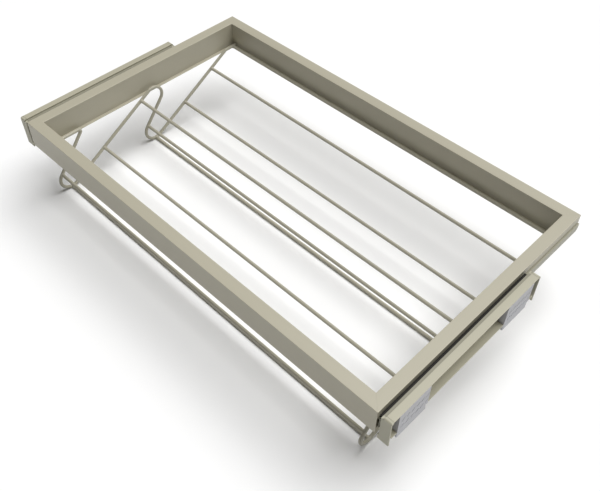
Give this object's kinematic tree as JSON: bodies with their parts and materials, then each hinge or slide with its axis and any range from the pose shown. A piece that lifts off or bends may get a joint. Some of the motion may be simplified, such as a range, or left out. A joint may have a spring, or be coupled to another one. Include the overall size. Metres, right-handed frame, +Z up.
{
  "type": "pull-out wardrobe shoe rack",
  "caption": "Pull-out wardrobe shoe rack: a mitred profile frame with a zig-zag wire shoe shelf, carried on covered telescopic side slides with slotted wall pads.",
  "frame": {"origin": "centre of the part's box: midway between the two wardrobe sides, midway from the frame's front to its back, and midway between the frame's top and the lowest wire", "axes": "+X to the right, across the wardrobe; +Z up; the frame pulls out along -Y"},
  "size_m": [0.833, 0.47, 0.1536],
  "materials": {
    "frame_paint": "stone-grey satin powder coat on an aluminium profile",
    "wire_paint": "stone-grey satin powder coat on steel wire",
    "cover_paint": "stone-grey satin powder coat on a rolled cover",
    "cap_plastic": "moulded end cap in the frame's colour, fine spark texture",
    "pad_plastic": "mid-grey moulded nylon, slotted",
    "slide_steel": "zinc-plated rolled steel",
    "cage_steel": "thin pressed steel ball retainer",
    "screw_steel": "zinc-plated steel",
    "bracket_zinc": "die-cast corner bracket, as cast",
    "stop_rubber": "black moulded rubber"
  },
  "bodies": {
    "wardrobe_side": {"cover_left": "cover_paint", "cap_front_left": "cap_plastic", "cap_rear_left": "cap_plastic", "slide_fixed_left": "slide_steel", "stop_left": "stop_rubber", "pad_front_left": "pad_plastic", "pad_rear_left": "pad_plastic", "pad_screw_front_left": "screw_steel", "pad_screw_rear_left": "screw_steel", "rivet_front_left": "screw_steel", "rivet_rear_left": "screw_steel", "cover_right": "cover_paint", "cap_front_right": "cap_plastic", "cap_rear_right": "cap_plastic", "slide_fixed_right": "slide_steel", "stop_right": "stop_rubber", "pad_front_right": "pad_plastic", "pad_rear_right": "pad_plastic", "pad_screw_front_right": "screw_steel", "pad_screw_rear_right": "screw_steel", "rivet_front_right": "screw_steel", "rivet_rear_right": "screw_steel"},
    "pull_out": {"rail_front": "frame_paint", "rail_rear": "frame_paint", "rail_left": "frame_paint", "rail_right": "frame_paint", "bracket_front_left": "bracket_zinc", "bracket_front_right": "bracket_zinc", "bracket_rear_left": "bracket_zinc", "bracket_rear_right": "bracket_zinc", "slide_drawer_left": "slide_steel", "slide_drawer_right": "slide_steel", "slide_screw_front_left": "screw_steel", "slide_screw_front_right": "screw_steel", "slide_screw_rear_left": "screw_steel", "slide_screw_rear_right": "screw_steel", "wire_left": "wire_paint", "wire_right": "wire_paint", "rod_top_front": "wire_paint", "rod_top_rear": "wire_paint", "rod_front_leg": "wire_paint", "rod_front_loop": "wire_paint", "rod_front_heel": "wire_paint", "rod_front_toe": "wire_paint", "rod_rear_leg": "wire_paint", "rod_rear_loop": "wire_paint", "rod_rear_heel": "wire_paint", "rod_rear_toe": "wire_paint"},
    "cage_outer_body_left": {"cage_outer_left": "cage_steel"},
    "middle_body_left": {"slide_middle_left": "slide_steel"},
    "cage_inner_body_left": {"cage_inner_left": "cage_steel"},
    "cage_outer_body_right": {"cage_outer_right": "cage_steel"},
    "middle_body_right": {"slide_middle_right": "slide_steel"},
    "cage_inner_body_right": {"cage_inner_right": "cage_steel"}
  },
  "joints": [
    {"name": "pull_out_slide", "type": "slide", "parent": "wardrobe_side", "child": "pull_out", "axis": [0, -1, 0], "range_m": [0, 0.3]},
    {"name": "cage_outer_run_left", "type": "slide", "parent": "wardrobe_side", "child": "cage_outer_body_left", "axis": [0, -1, 0], "range_m": [0, 0.076]},
    {"name": "middle_run_left", "type": "slide", "parent": "wardrobe_side", "child": "middle_body_left", "axis": [0, -1, 0], "range_m": [0, 0.151]},
    {"name": "cage_inner_run_left", "type": "slide", "parent": "wardrobe_side", "child": "cage_inner_body_left", "axis": [0, -1, 0], "range_m": [0, 0.226]},
    {"name": "cage_outer_run_right", "type": "slide", "parent": "wardrobe_side", "child": "cage_outer_body_right", "axis": [0, -1, 0], "range_m": [0, 0.076]},
    {"name": "middle_run_right", "type": "slide", "parent": "wardrobe_side", "child": "middle_body_right", "axis": [0, -1, 0], "range_m": [0, 0.151]},
    {"name": "cage_inner_run_right", "type": "slide", "parent": "wardrobe_side", "child": "cage_inner_body_right", "axis": [0, -1, 0], "range_m": [0, 0.226]}
  ],
  "couplings": [
    {"joint": "cage_outer_run_left", "follows": "pull_out_slide", "ratio": 0.25},
    {"joint": "middle_run_left", "follows": "pull_out_slide", "ratio": 0.5},
    {"joint": "cage_inner_run_left", "follows": "pull_out_slide", "ratio": 0.75},
    {"joint": "cage_outer_run_right", "follows": "pull_out_slide", "ratio": 0.25},
    {"joint": "middle_run_right", "follows": "pull_out_slide", "ratio": 0.5},
    {"joint": "cage_inner_run_right", "follows": "pull_out_slide", "ratio": 0.75}
  ]
}
